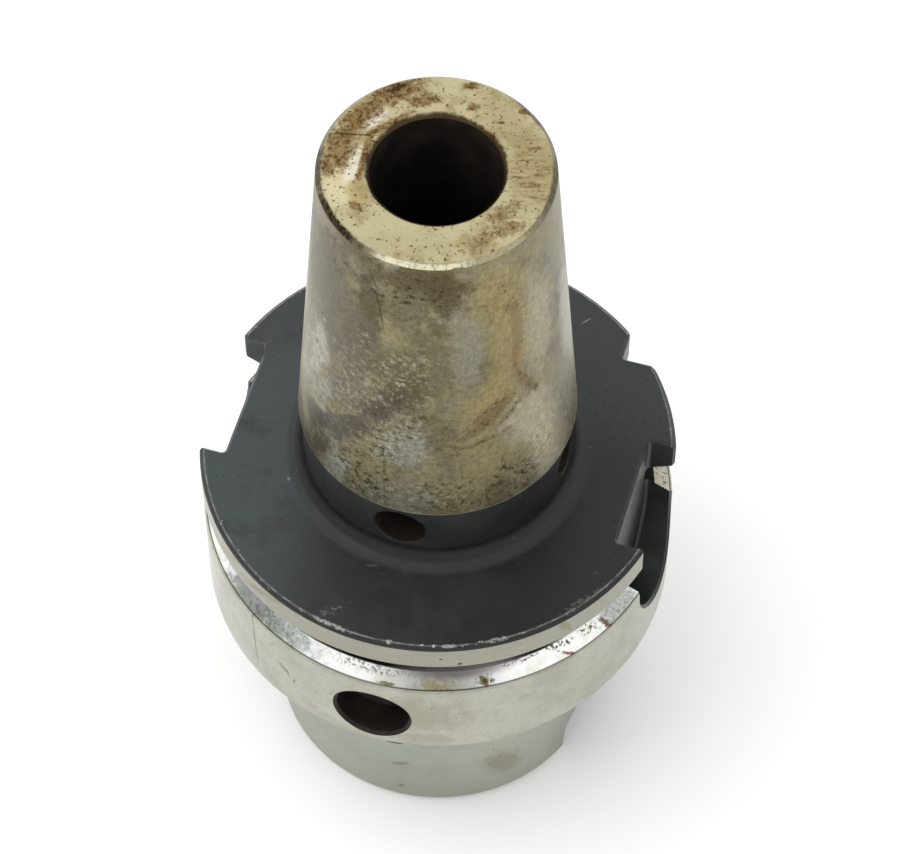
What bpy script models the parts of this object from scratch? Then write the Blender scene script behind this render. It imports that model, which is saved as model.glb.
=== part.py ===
"""Shrink fit holder with a hollow taper shank, turned from one bar of hot-work tool steel.

The holder stands on the open end of its shank, with its axis on Z, its nose up and its origin on
the axis in the shank's end face. The narrow keyway faces +X, the wide one -X, the pocket for a
data chip -Y, and the orientation notch lies halfway between +X and +Y. Lengths are in metres.
"""

import math

import bmesh
import bpy
from mathutils import Matrix, Vector

MM = 0.001
TURNING_STEPS = 80  # facets round the axis
DRILLING_STEPS = 30  # facets round a drilled hole
FILLET_STEPS = 6  # facets across the neck's fillet
SMALL_STEPS = 3  # facets across a small fillet or corner
ARCH_STEPS = 12  # facets across a corner of a drive slot
KEYWAY_STEPS = 23  # facets round a keyway's end, odd so that no edge lies in the axis plane

# Hollow taper shank, up to the gauge face
SHANK_LENGTH = 32.0 * MM
GAUGE_DIAMETER = 48.01 * MM
GAUGE_PLANE_DEPTH = 6.3 * MM  # below the gauge face
SHANK_TAPER = 0.1  # change of diameter per length
LEAD_CHAMFER = 1.0 * MM
RELIEF_DEPTH = 0.5 * MM  # undercut where the taper meets the gauge face
RELIEF_LENGTH = 2.6 * MM
RELIEF_RUNOUT = 0.8 * MM
RELIEF_FILLET = 1.0 * MM

# Cavity that the spindle's gripper reaches into
SHANK_WALL = 7.0 * MM  # on the gauge plane
CAVITY_MOUTH_CHAMFER = 1.0 * MM
SHOULDER_DEPTH = 18.13 * MM  # gauge circle of the clamping shoulder, below the gauge face
SHOULDER_STEP = 1.5 * MM  # shank bore to that circle, along the radius
SHOULDER_ANGLE = math.radians(30)
UNDERCUT_DEPTH = 3.0 * MM
UNDERCUT_RETURN = 2.5 * MM  # the undercut's 45 degree way back in
FLOOR_LAND = 4.0 * MM  # straight wall below the cavity's floor
FLOOR_DEPTH = 3.5 * MM  # floor below the gauge face
FLOOR_FILLET = 1.0 * MM

# Coolant tube seat and the passage up to the tool bore
SEAT_DIAMETER = 20.0 * MM
SEAT_DEPTH = 3.0 * MM
TUBE_THREAD_CORE = 17.0 * MM
TUBE_THREAD_LENGTH = 11.0 * MM
TUBE_THREAD_CHAMFER = 0.6 * MM
PASSAGE_DIAMETER = 10.9 * MM  # core of the stop screw's thread
DRILL_POINT_SLOPE = math.tan(math.radians(31))

# Flange with the gripper groove
FLANGE_DIAMETER = 63.0 * MM
FLANGE_WIDTH = 26.0 * MM
FLANGE_TOP_CHAMFER = 0.62 * MM
FLANGE_GAUGE_CHAMFER = 0.4 * MM
EDGE_BREAK = 0.2 * MM
GROOVE_HEIGHT = 18.0 * MM  # groove's centre above the gauge face
GROOVE_DEPTH = 4.0 * MM
GROOVE_FLOOR = 2.14 * MM
GROOVE_FLANK_SLOPE = math.tan(math.radians(30))

# Neck and shrinking cone
PROJECTION = 85.7 * MM  # gauge face to nose face
NECK_HEIGHT = 10.9 * MM
NECK_FILLET = 3.0 * MM
FOOT_STEP = 0.4 * MM  # the cone's foot stands proud of the neck
FOOT_LIP = 0.3 * MM
NOSE_WALL = 6.45 * MM
NOSE_CHAMFER = 0.65 * MM
CONE_HALF_ANGLE = math.radians(4.28)

# Tool bore
BORE_DIAMETER = 16.0 * MM
BORE_DEPTH = 40.7 * MM
BORE_CHAMFER = 0.53 * MM
BORE_RELIEF_STEP = 0.3 * MM
BORE_RELIEF_LENGTH = 3.0 * MM

# Keyways and orientation notch in the flange
NARROW_KEYWAY = 16.4 * MM
WIDE_KEYWAY = 18.4 * MM
KEYWAY_DEPTH = 4.9 * MM
KEYWAY_REACH = 20.3 * MM  # lowest point below the flange's top face
KEYWAY_CORNER = 0.6 * MM
KEYWAY_BREAK = 0.4 * MM  # bevel along the edges in the rim and in the top face
NOTCH_DEPTH = 3.3 * MM
NOTCH_ROOT = 0.5 * MM
NOTCH_BREAK = 0.5 * MM  # bevel along the notch's edges in the rim
NOTCH_AZIMUTH = math.radians(45)

# Drive slots in the shank's end
DRIVE_SLOT_WIDTH = 12.54 * MM
DRIVE_SLOT_DEPTH = 10.0 * MM
DRIVE_SLOT_CORNER = 1.5 * MM
DRIVE_SLOT_FLARE = 2.63 * MM  # bevel along the slot's outer edges
DRIVE_FLARE_CORNER = 5.0 * MM

# Drilled holes
CHIP_DIAMETER = 10.0 * MM
CHIP_DEPTH = 4.6 * MM
CHIP_HEIGHT = 6.8 * MM  # centre above the gauge face
CHIP_RIM = 0.45 * MM
BALANCE_DIAMETER = 6.8 * MM
BALANCE_DEPTH = 8.5 * MM
BALANCE_HEIGHT = 6.1 * MM  # centre above the flange's top face
BALANCE_RIM = 0.2 * MM
ACCESS_DIAMETER = 7.0 * MM
ACCESS_DEPTH = 11.2 * MM  # centre below the gauge face
ACCESS_RIM = 0.3 * MM

CUT_PAST = 3.0 * MM  # how far a cutter runs past the skin that it opens
MERGE = 0.001 * MM

STEEL_COLOUR = (0.44, 0.41, 0.35, 1.0)
STEEL_ROUGHNESS = 0.38

# Levels and radii that the sizes above give
GAUGE_Z = SHANK_LENGTH
FLANGE_Z = GAUGE_Z + FLANGE_WIDTH
GROOVE_Z = GAUGE_Z + GROOVE_HEIGHT
FOOT_Z = FLANGE_Z + NECK_HEIGHT
NOSE_Z = GAUGE_Z + PROJECTION
FLOOR_Z = GAUGE_Z - FLOOR_DEPTH
FLANGE_RADIUS = FLANGE_DIAMETER / 2
BORE_RADIUS = BORE_DIAMETER / 2
SHANK_BORE_RADIUS = GAUGE_DIAMETER / 2 - SHANK_WALL


def shank_radius(z):
    """Radius of the shank's taper at a height."""
    return GAUGE_DIAMETER / 2 + (z - GAUGE_Z + GAUGE_PLANE_DEPTH) * SHANK_TAPER / 2


def cone_radius(z):
    """Radius of the shrinking cone at a height."""
    return BORE_RADIUS + NOSE_WALL + (NOSE_Z - z) * math.tan(CONE_HALF_ANGLE)


NECK_RADIUS = cone_radius(FOOT_Z) - FOOT_STEP


def arc(centre, radius, start, end, count):
    """Points along an arc in the plane of radius and height, its angles in degrees."""
    points = []
    for step in range(count + 1):
        angle = math.radians(start + (end - start) * step / count)
        points.append((centre[0] + radius * math.cos(angle), centre[1] + radius * math.sin(angle)))
    return points


def nose_and_neck():
    """Nose face, shrinking cone and neck, down to the flange's top face."""
    chamfer_z = NOSE_Z - NOSE_CHAMFER
    points = [
        (BORE_RADIUS + BORE_CHAMFER, NOSE_Z),
        (cone_radius(chamfer_z) - NOSE_CHAMFER, NOSE_Z),
        (cone_radius(chamfer_z), chamfer_z),
        (cone_radius(FOOT_Z), FOOT_Z),
        (NECK_RADIUS, FOOT_Z - FOOT_LIP),
    ]
    centre = (NECK_RADIUS + NECK_FILLET, FLANGE_Z + NECK_FILLET)
    return points + arc(centre, NECK_FILLET, 180, 270, FILLET_STEPS)


def flange():
    """Upper ring, gripper groove and lower ring, down to the gauge face."""
    floor_half = GROOVE_FLOOR / 2
    mouth_half = floor_half + GROOVE_DEPTH * GROOVE_FLANK_SLOPE
    break_drop = EDGE_BREAK * GROOVE_FLANK_SLOPE
    groove_radius = FLANGE_RADIUS - GROOVE_DEPTH
    return [
        (FLANGE_RADIUS - FLANGE_TOP_CHAMFER, FLANGE_Z),
        (FLANGE_RADIUS, FLANGE_Z - FLANGE_TOP_CHAMFER),
        (FLANGE_RADIUS, GROOVE_Z + mouth_half + EDGE_BREAK),
        (FLANGE_RADIUS - EDGE_BREAK, GROOVE_Z + mouth_half - break_drop),
        (groove_radius, GROOVE_Z + floor_half),
        (groove_radius, GROOVE_Z - floor_half),
        (FLANGE_RADIUS - EDGE_BREAK, GROOVE_Z - mouth_half + break_drop),
        (FLANGE_RADIUS, GROOVE_Z - mouth_half - EDGE_BREAK),
        (FLANGE_RADIUS, GAUGE_Z + FLANGE_GAUGE_CHAMFER),
        (FLANGE_RADIUS - FLANGE_GAUGE_CHAMFER, GAUGE_Z),
    ]


def shank():
    """Relief, taper and lead of the shank, down to its end face."""
    relief_radius = shank_radius(GAUGE_Z) - RELIEF_DEPTH
    relief_end = GAUGE_Z - RELIEF_LENGTH
    taper_start = relief_end - RELIEF_RUNOUT
    centre = (relief_radius + RELIEF_FILLET, GAUGE_Z - RELIEF_FILLET)
    return arc(centre, RELIEF_FILLET, 90, 180, SMALL_STEPS) + [
        (relief_radius, relief_end),
        (shank_radius(taper_start), taper_start),
        (shank_radius(LEAD_CHAMFER), LEAD_CHAMFER),
        (shank_radius(LEAD_CHAMFER) - LEAD_CHAMFER, 0),
    ]


def cavity():
    """Inside of the shank, from its mouth past the clamping shoulder up to the floor."""
    wall = SHANK_BORE_RADIUS
    undercut = wall + UNDERCUT_DEPTH
    shoulder_z = GAUGE_Z - SHOULDER_DEPTH
    shoulder_rise = 1 / math.tan(SHOULDER_ANGLE)
    land_radius = undercut - UNDERCUT_RETURN
    land_z = FLOOR_Z - FLOOR_LAND
    points = [
        (wall + CAVITY_MOUTH_CHAMFER, 0),
        (wall, CAVITY_MOUTH_CHAMFER),
        (wall, shoulder_z - SHOULDER_STEP * shoulder_rise),
        (undercut, shoulder_z + (UNDERCUT_DEPTH - SHOULDER_STEP) * shoulder_rise),
        (undercut, land_z - UNDERCUT_RETURN),
        (land_radius, land_z),
    ]
    centre = (land_radius - FLOOR_FILLET, FLOOR_Z - FLOOR_FILLET)
    return points + arc(centre, FLOOR_FILLET, 0, 90, SMALL_STEPS)


def passage():
    """Coolant tube seat, stop screw passage and tool bore, up to the nose face."""
    core = TUBE_THREAD_CORE / 2
    seat_z = FLOOR_Z + SEAT_DEPTH
    thread_end = seat_z + TUBE_THREAD_LENGTH
    screw = PASSAGE_DIAMETER / 2
    relief = BORE_RADIUS + BORE_RELIEF_STEP
    bore_end = NOSE_Z - BORE_DEPTH
    relief_end = bore_end + BORE_RELIEF_LENGTH
    return [
        (SEAT_DIAMETER / 2, FLOOR_Z),
        (SEAT_DIAMETER / 2, seat_z),
        (core + TUBE_THREAD_CHAMFER, seat_z),
        (core, seat_z + TUBE_THREAD_CHAMFER),
        (core, thread_end),
        (screw, thread_end + (core - screw) * DRILL_POINT_SLOPE),
        (screw, bore_end - (relief - screw) * DRILL_POINT_SLOPE),
        (relief, bore_end),
        (relief, relief_end),
        (BORE_RADIUS, relief_end + BORE_RELIEF_STEP),
        (BORE_RADIUS, NOSE_Z - BORE_CHAMFER),
    ]


def turned(name, profile, steps, closed, collection):
    """Object made by turning a profile of radii and heights about its Z axis."""
    mesh = bpy.data.meshes.new(name)
    edges = [(point, point + 1) for point in range(len(profile) - 1)]
    if closed:
        edges.append((len(profile) - 1, 0))
    mesh.from_pydata([(radius, 0, height) for radius, height in profile], edges, [])
    piece = bpy.data.objects.new(name, mesh)
    collection.objects.link(piece)
    screw = piece.modifiers.new("Turning", "SCREW")
    screw.axis = "Z"
    screw.steps = steps
    screw.render_steps = steps
    screw.use_merge_vertices = True
    screw.merge_threshold = MERGE
    return piece


def drill(name, quarter, height, skin, sizes, collection):
    """Cutter for a hole drilled square to the axis from a skin radius, with a countersunk rim.

    It is a number of quarter turns from +X, and its sizes are its diameter, depth and rim. The
    countersink runs on past the skin, so that none of its edges touches the skin.
    """
    diameter, depth, rim = sizes
    radius = diameter / 2
    profile = [
        (0, CUT_PAST),
        (radius + 2 * rim, CUT_PAST),
        (radius + 2 * rim, rim),
        (radius, -rim),
        (radius, -depth),
        (0, -depth - radius * DRILL_POINT_SLOPE),
    ]
    cutter = turned(name, profile, DRILLING_STEPS, False, collection)
    outward = Matrix.Rotation(quarter * math.pi / 2, 3, "Z") @ Vector((1, 0, 0))
    cutter.rotation_euler = outward.to_track_quat("Z", "Y").to_euler()
    cutter.location = outward * skin + Vector((0, 0, height))
    return cutter


def arch(half_width, corner):
    """Outline of a drive slot across Y, with its rounded corners inside the shank."""
    centre_z = DRIVE_SLOT_DEPTH - corner
    outline = [(half_width, -CUT_PAST)]
    outline += arc((half_width - corner, centre_z), corner, 0, 90, ARCH_STEPS)
    outline += arc((corner - half_width, centre_z), corner, 90, 180, ARCH_STEPS)
    outline.append((-half_width, -CUT_PAST))
    return outline


def lofted(name, rings, azimuth, collection):
    """Cutter through rings of as many points each, turned about the axis to its azimuth.

    Its faces are cut into triangles, because those between two rings can be twisted.
    """
    shape = bmesh.new()
    rows = [[shape.verts.new(point) for point in ring] for ring in rings]
    for inner, outer in zip(rows, rows[1:]):
        for here in range(len(inner)):
            shape.faces.new((inner[here - 1], inner[here], outer[here], outer[here - 1]))
    shape.faces.new(rows[0])
    shape.faces.new(rows[-1])
    bmesh.ops.remove_doubles(shape, verts=shape.verts[:], dist=MERGE)
    bmesh.ops.triangulate(shape, faces=shape.faces[:])
    bmesh.ops.rotate(shape, verts=shape.verts[:], matrix=Matrix.Rotation(azimuth, 3, "Z"))
    bmesh.ops.recalc_face_normals(shape, faces=shape.faces[:])
    mesh = bpy.data.meshes.new(name)
    shape.to_mesh(mesh)
    shape.free()
    cutter = bpy.data.objects.new(name, mesh)
    collection.objects.link(cutter)
    return cutter


def notch(collection):
    """The orientation notch, a right angle through the upper ring, and the bevel of its rim edges."""
    apex = FLANGE_RADIUS - NOTCH_DEPTH
    far = FLANGE_RADIUS + CUT_PAST
    top = FLANGE_Z + CUT_PAST
    root = arc((apex + NOTCH_ROOT * math.sqrt(2), 0), NOTCH_ROOT, 225, 135, SMALL_STEPS)
    plan = root + [(far, far - apex), (far, apex - far)]
    rings = [[(x, y, z) for x, y in plan] for z in (GROOVE_Z, top)]
    mouth = (math.sqrt(2 * FLANGE_RADIUS ** 2 - apex ** 2) - apex) / 2
    wall = (apex + mouth - NOTCH_BREAK / math.sqrt(2), mouth - NOTCH_BREAK / math.sqrt(2))
    rim_y = mouth + NOTCH_BREAK
    rim = (math.sqrt(FLANGE_RADIUS ** 2 - rim_y ** 2), rim_y)
    slope = (rim[1] - wall[1]) / (rim[0] - wall[0])
    tip = wall[0] - wall[1] / slope
    spread = (far - tip) * slope
    bevel = [[(tip, 0, z), (far, spread, z), (far, -spread, z)] for z in (GROOVE_Z, top)]
    return [
        lofted("orientation_notch", rings, NOTCH_AZIMUTH, collection),
        lofted("notch_bevel", bevel, NOTCH_AZIMUTH, collection),
    ]


def keyway(name, width, turn, collection):
    """Cutters for a keyway that is open towards the nose and has a fully rounded lower end.

    The first has the fillet along the floor and the bevel along the rim, and the second bevels the
    edges in the flange's top face.
    """
    floor = FLANGE_RADIUS - KEYWAY_DEPTH
    lowest = FLANGE_Z - KEYWAY_REACH
    top = FLANGE_Z + CUT_PAST
    far = FLANGE_RADIUS + CUT_PAST
    levels = []
    for step in range(SMALL_STEPS + 1):
        angle = math.pi / 2 * step / SMALL_STEPS
        reach = floor + KEYWAY_CORNER * (1 - math.cos(angle))
        levels.append((KEYWAY_CORNER * (math.sin(angle) - 1), lambda y, reach=reach: reach))
    for spread in (0, 2 * KEYWAY_BREAK):
        radius = FLANGE_RADIUS - KEYWAY_BREAK + spread
        levels.append((spread, lambda y, radius=radius: math.sqrt(radius ** 2 - y ** 2)))
    levels.append((2 * KEYWAY_BREAK, lambda y: far))
    rings = []
    for spread, reach_at in levels:
        half_width = width / 2 + spread
        outline = [(half_width, top)]
        outline += arc((0, lowest + width / 2), half_width, 0, -180, KEYWAY_STEPS)
        outline.append((-half_width, top))
        rings.append([(reach_at(y), y, z) for y, z in outline])
    face = []
    for rise in (-2 * KEYWAY_BREAK, CUT_PAST):
        spread = rise + KEYWAY_BREAK
        near = floor - spread / 2
        half_width = width / 2 + spread
        corners = ((near, -half_width), (near, half_width), (far, half_width), (far, -half_width))
        face.append([(x, y, FLANGE_Z + rise) for x, y in corners])
    return [
        lofted(name, rings, turn, collection),
        lofted(name + "_face_bevel", face, turn, collection),
    ]


def keyways(collection):
    """The flange's two keyways, opposite each other."""
    narrow = keyway("narrow_keyway", NARROW_KEYWAY, 0, collection)
    return narrow + keyway("wide_keyway", WIDE_KEYWAY, math.pi, collection)


def drive_slots(collection):
    """The two slots in the shank's end, each with flared outer edges."""
    flare_half = DRIVE_SLOT_WIDTH / 2 + DRIVE_SLOT_FLARE
    skin = math.sqrt(shank_radius(0) ** 2 - flare_half ** 2)
    far = shank_radius(GAUGE_Z) + CUT_PAST
    slot = arch(DRIVE_SLOT_WIDTH / 2, DRIVE_SLOT_CORNER)
    flare = arch(flare_half, DRIVE_FLARE_CORNER)
    levels = ((SHANK_BORE_RADIUS / 2, slot), (skin - DRIVE_SLOT_FLARE, slot), (skin, flare), (far, flare))
    rings = [[(reach, y, z) for y, z in outline] for reach, outline in levels]
    return [
        lofted("drive_slot_east", rings, 0, collection),
        lofted("drive_slot_west", rings, math.pi, collection),
    ]


def drilled_holes(collection):
    """Chip pocket, four balancing holes in the neck and two key holes in the shank."""
    chip = (CHIP_DIAMETER, CHIP_DEPTH, CHIP_RIM)
    balance = (BALANCE_DIAMETER, BALANCE_DEPTH, BALANCE_RIM)
    access = (ACCESS_DIAMETER, SHANK_WALL, ACCESS_RIM)
    balance_z = FLANGE_Z + BALANCE_HEIGHT
    access_z = GAUGE_Z - ACCESS_DEPTH
    access_skin = shank_radius(access_z)
    cutters = [drill("chip_pocket", 3, GAUGE_Z + CHIP_HEIGHT, FLANGE_RADIUS, chip, collection)]
    for quarter in range(4):
        name = f"balancing_hole_{quarter + 1}"
        cutters.append(drill(name, quarter, balance_z, NECK_RADIUS, balance, collection))
    for quarter in (1, 3):
        name = f"key_hole_{quarter}"
        cutters.append(drill(name, quarter, access_z, access_skin, access, collection))
    return cutters


def steel():
    """Ground and heat-tinted hot-work steel."""
    material = bpy.data.materials.new("ground_tool_steel")
    material.use_nodes = True
    shader = material.node_tree.nodes["Principled BSDF"]
    shader.inputs["Base Color"].default_value = STEEL_COLOUR
    shader.inputs["Metallic"].default_value = 1.0
    shader.inputs["Roughness"].default_value = STEEL_ROUGHNESS
    return material


def build():
    """The holder in its collection, and its cutters in another."""
    for item in list(bpy.data.objects):
        bpy.data.objects.remove(item, do_unlink=True)
    parts = bpy.data.collections.new("shrink_fit_holder")
    tools = bpy.data.collections.new("cutters")
    for collection in (parts, tools):
        bpy.context.scene.collection.children.link(collection)
    profile = nose_and_neck() + flange() + shank() + cavity() + passage()
    body = turned("holder_body", profile, TURNING_STEPS, True, parts)
    body.data.materials.append(steel())
    cutters = keyways(tools) + notch(tools) + drive_slots(tools) + drilled_holes(tools)
    for cutter in cutters:
        cutter.hide_render = True
        cutter.display_type = "WIRE"
        cut = body.modifiers.new(cutter.name, "BOOLEAN")
        cut.operation = "DIFFERENCE"
        cut.solver = "EXACT"
        cut.object = cutter


build()
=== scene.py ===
"""Looks of a used shrink fit holder: ground and heat-tinted steel round a blackened flange.

The holder stands on its shank with its axis on Z. Its sizes are in millimetres and become metres
when they go into a mesh; the studio is in metres. Azimuths are in degrees, from -Y towards +X.
"""

import math

import bmesh
import bpy
import numpy as np
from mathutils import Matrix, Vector


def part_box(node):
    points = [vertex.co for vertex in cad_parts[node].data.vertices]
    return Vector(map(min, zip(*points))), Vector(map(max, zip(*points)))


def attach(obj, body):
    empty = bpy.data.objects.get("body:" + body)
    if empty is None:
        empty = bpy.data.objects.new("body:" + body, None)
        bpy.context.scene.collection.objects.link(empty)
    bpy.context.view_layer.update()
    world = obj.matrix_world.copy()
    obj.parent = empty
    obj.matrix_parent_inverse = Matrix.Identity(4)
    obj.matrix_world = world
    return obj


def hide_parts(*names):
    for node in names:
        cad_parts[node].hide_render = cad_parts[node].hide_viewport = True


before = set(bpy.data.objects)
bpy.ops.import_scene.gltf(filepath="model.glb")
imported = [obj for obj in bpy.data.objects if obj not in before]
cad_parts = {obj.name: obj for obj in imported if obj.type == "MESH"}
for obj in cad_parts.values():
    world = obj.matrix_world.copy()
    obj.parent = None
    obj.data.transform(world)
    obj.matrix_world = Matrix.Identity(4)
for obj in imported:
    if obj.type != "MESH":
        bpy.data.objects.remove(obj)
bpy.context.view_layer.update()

# Holder body, turned form
# One bar of hot-work tool steel, turned in one piece: nose, shrinking cone, neck, flange with its
# gripper groove and hollow taper shank. Every edge has the small round that grinding and use leave.
MM = 0.001
NOSE_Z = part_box("holder_body")[1].z / MM
FLANGE_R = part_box("holder_body")[1].y / MM
GAUGE_Z = 32.0  # height of the face that meets the spindle
FLANGE_Z = GAUGE_Z + 26.0
GROOVE_Z = GAUGE_Z + 18.0
GROOVE_DEPTH = 4.0
GROOVE_HALF_FLOOR = 1.07
SLOPE_30 = math.tan(math.radians(30))
GROOVE_HALF_MOUTH = GROOVE_HALF_FLOOR + GROOVE_DEPTH * SLOPE_30
BORE_R = 8.0
BORE_CHAMFER = 0.53
NOSE_R = BORE_R + 6.45
NOSE_CHAMFER = 0.65
FOOT_Z = FLANGE_Z + 10.9  # height of the cone's foot
CONE_SLOPE = math.tan(math.radians(4.28))
NECK_STEP = 0.4
NECK_R = NOSE_R + (NOSE_Z - FOOT_Z) * CONE_SLOPE - NECK_STEP
TOP_CHAMFER = 0.62
GAUGE_R = 24.005  # radius of the taper at its gauge line
GAUGE_DROP = 6.3  # how far the gauge line lies below the gauge face
TAPER_SLOPE = 0.05  # radius per length
DRILL_SLOPE = math.tan(math.radians(31))
TURNS = 256  # steps round the axis
ROW_PITCH = 1.5  # longest step along the section
CORNER_STEPS = 4  # fewest steps round a corner
CORNER_FINENESS = 6  # steps for each millimetre of a corner's radius
FINISHES = ("nose", "cone", "oxide", "rim", "groove", "taper", "inside")
steels = [bpy.data.materials.new(finish) for finish in FINISHES]


def cone_r(z):
    """Radius of the shrinking cone at a height."""
    return NOSE_R + (NOSE_Z - z) * CONE_SLOPE


def taper_r(z):
    """Radius of the shank's taper at a height."""
    return GAUGE_R + (z - GAUGE_Z + GAUGE_DROP) * TAPER_SLOPE


def outside_corners():
    """Corners of the section down the outside, from the bore's rim to the shank's mouth.

    Each is a radius, a height, an edge round and the finish of the stretch that follows.
    """
    chamfer_z = NOSE_Z - NOSE_CHAMFER
    groove_r = FLANGE_R - GROOVE_DEPTH
    high_z = GROOVE_Z + GROOVE_HALF_MOUTH
    low_z = GROOVE_Z - GROOVE_HALF_MOUTH
    edge = 0.2
    relief_r = taper_r(GAUGE_Z) - 0.5
    foot = 1.0
    return [
        (BORE_R + BORE_CHAMFER, NOSE_Z, 0.12, "nose"),
        (cone_r(chamfer_z) - NOSE_CHAMFER, NOSE_Z, 0.25, "nose"),
        (cone_r(chamfer_z), chamfer_z, 0.25, "cone"),
        (cone_r(FOOT_Z), FOOT_Z, 0.08, "cone"),
        (NECK_R, FOOT_Z - 0.3, 0.08, "oxide"),
        (NECK_R, FLANGE_Z, 3.0, "oxide"),
        (FLANGE_R - TOP_CHAMFER, FLANGE_Z, 0.15, "oxide"),
        (FLANGE_R, FLANGE_Z - TOP_CHAMFER, 0.12, "rim"),
        (FLANGE_R, high_z + edge, 0.1, "rim"),
        (FLANGE_R - edge, high_z - edge * SLOPE_30, 0.1, "oxide"),
        (groove_r, GROOVE_Z + GROOVE_HALF_FLOOR, 0.4, "oxide"),
        (groove_r, GROOVE_Z - GROOVE_HALF_FLOOR, 0.4, "groove"),
        (FLANGE_R - edge, low_z + edge * SLOPE_30, 0.1, "rim"),
        (FLANGE_R, low_z - edge, 0.1, "rim"),
        (FLANGE_R, GAUGE_Z + 0.4, 0.15, "rim"),
        (FLANGE_R - 0.4, GAUGE_Z, 0.1, "taper"),
        (relief_r, GAUGE_Z, 1.0, "taper"),
        (relief_r, GAUGE_Z - 2.6, 0.2, "taper"),
        (taper_r(GAUGE_Z - 3.4), GAUGE_Z - 3.4, 0.2, "taper"),
        (taper_r(foot), foot, 0.3, "taper"),
        (taper_r(foot) - foot, 0.0, 0.2, "taper"),
    ]


def inside_corners():
    """Corners that go on up through cavity, coolant tube seat, passage and bore, given the same way."""
    cavity_r = GAUGE_R - 7.0
    undercut = 3.0
    shoulder_z = GAUGE_Z - 18.13
    land_r = cavity_r + undercut - 2.5
    ceiling_z = GAUGE_Z - 3.5
    seat_z = ceiling_z + 3.0
    tube_r = 8.5
    tube_end_z = seat_z + 11.0
    passage_r = 5.45
    relief_r = BORE_R + 0.3
    bore_end_z = NOSE_Z - 40.7
    return [
        (cavity_r + 1.0, 0.0, 0.2, "inside"),
        (cavity_r, 1.0, 0.2, "inside"),
        (cavity_r, shoulder_z - undercut / 2 / SLOPE_30, 0.3, "taper"),
        (cavity_r + undercut, shoulder_z + undercut / 2 / SLOPE_30, 0.3, "inside"),
        (cavity_r + undercut, ceiling_z - 6.5, 0.6, "inside"),
        (land_r, ceiling_z - 4.0, 0.4, "inside"),
        (land_r, ceiling_z, 1.0, "inside"),
        (tube_r + 1.5, ceiling_z, 0.2, "inside"),
        (tube_r + 1.5, seat_z, 0.3, "inside"),
        (tube_r + 0.6, seat_z, 0.1, "inside"),
        (tube_r, seat_z + 0.6, 0.1, "inside"),
        (tube_r, tube_end_z, 0.3, "inside"),
        (passage_r, tube_end_z + (tube_r - passage_r) * DRILL_SLOPE, 0.2, "inside"),
        (passage_r, bore_end_z - (relief_r - passage_r) * DRILL_SLOPE, 0.2, "inside"),
        (relief_r, bore_end_z, 0.3, "inside"),
        (relief_r, bore_end_z + 3.0, 0.1, "inside"),
        (BORE_R, bore_end_z + 3.3, 0.1, "inside"),
        (BORE_R, NOSE_Z - BORE_CHAMFER, 0.12, "nose"),
    ]


def rounded_section(corners):
    """Points and finishes along the closed section, its corners rounded.

    A corner's arc starts and ends where its circle touches the two sides, and straight stretches
    are cut into steps no longer than the row pitch.
    """
    spots = np.array([corner[:2] for corner in corners])
    before = np.roll(spots, 1, 0) - spots
    after = np.roll(spots, -1, 0) - spots
    before /= np.linalg.norm(before, axis=1)[:, None]
    after /= np.linalg.norm(after, axis=1)[:, None]
    points = []
    finishes = []
    for spot, back, ahead, (_, _, edge, finish) in zip(spots, before, after, corners):
        half = math.acos(float(np.clip(back @ ahead, -1, 1))) / 2
        centre = spot + (back + ahead) / np.linalg.norm(back + ahead) * edge / math.sin(half)
        start = spot + back * edge / math.tan(half) - centre
        end = spot + ahead * edge / math.tan(half) - centre
        for share in np.linspace(0, 1, max(CORNER_STEPS, round(edge * CORNER_FINENESS)) + 1):
            way = start * (1 - share) + end * share
            points.append(centre + way / np.linalg.norm(way) * edge)
            finishes.append(finish)
    fine = []
    kinds = []
    for point, onward, finish in zip(points, points[1:] + points[:1], finishes):
        count = max(1, math.ceil(np.linalg.norm(onward - point) / ROW_PITCH))
        fine += [point + (onward - point) * step / count for step in range(count)]
        kinds += [FINISHES.index(finish)] * count
    return np.array(fine), np.array(kinds)


def make_mesh(name, points, faces, kinds=None):
    """Mesh from an array of points in millimetres and a list of faces."""
    mesh = bpy.data.meshes.new(name)
    mesh.from_pydata((np.asarray(points).reshape(-1, 3) * MM).tolist(), [], faces)
    for steel in steels:
        mesh.materials.append(steel)
    if kinds is not None:
        mesh.polygons.foreach_set("material_index", np.asarray(kinds, dtype=np.int32))
    mesh.update()
    return mesh


def make_object(name, data):
    """Object at the origin that shows a mesh or holds a lamp or a camera."""
    piece = bpy.data.objects.new(name, data)
    bpy.context.scene.collection.objects.link(piece)
    return piece


def grid_faces(rows, columns, closed_rows):
    """Quads between the rows of a grid whose columns close on themselves."""
    starts = np.arange(rows if closed_rows else rows - 1)
    row, column = np.meshgrid(starts, np.arange(columns), indexing="ij")
    below = (row + 1) % rows
    beside = (column + 1) % columns
    corners = ((row, column), (below, column), (below, beside), (row, beside))
    numbers = np.stack([at * columns + along for at, along in corners], -1)
    return numbers.reshape(-1, 4).tolist()


def turned_body():
    """Surface of revolution: radius r and height z of the section go to (r cos a, r sin a, z)."""
    section, kinds = rounded_section(outside_corners() + inside_corners())
    angle = np.arange(TURNS) * 2 * math.pi / TURNS
    radius = section[:, 0, None]
    height = section[:, 1, None] + 0 * angle
    points = np.stack([radius * np.cos(angle), radius * np.sin(angle), height], -1)
    faces = grid_faces(len(section), TURNS, True)
    return make_mesh("holder_blank", points, faces, np.repeat(kinds, TURNS))


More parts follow.
